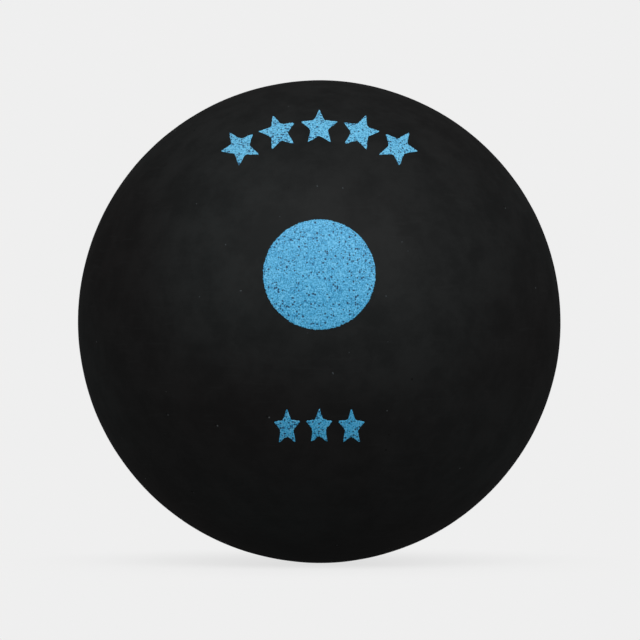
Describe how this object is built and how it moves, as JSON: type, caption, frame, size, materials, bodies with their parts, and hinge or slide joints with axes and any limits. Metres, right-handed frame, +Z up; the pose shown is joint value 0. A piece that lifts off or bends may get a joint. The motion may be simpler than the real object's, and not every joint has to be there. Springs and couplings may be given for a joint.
{
  "type": "squash ball",
  "caption": "Hollow black rubber ball for racket sport, two half shells cemented at a seam, with a matt buffed surface and a pale blue dot and stars printed on the front.",
  "frame": {"origin": "centre of the ball", "axes": "+Z up as the ball lies; the print faces -Y, tilted 11 degrees upwards; +X to the right of someone who looks at the print"},
  "size_m": [0.045, 0.045, 0.045],
  "materials": {
    "ball_rubber": "matt, buffed butyl rubber compound",
    "rubber_cement": "cured rubber cement, buffed flush outside, glossy inside",
    "print_ink": "pad-printed flexible ink, one colour, slightly worn and pinholed"
  },
  "bodies": {
    "root": {"front_half_shell": "ball_rubber", "back_half_shell": "ball_rubber", "seam_cement": "rubber_cement", "speed_dot": "print_ink", "upper_stars": "print_ink", "lower_stars": "print_ink"}
  },
  "joints": []
}
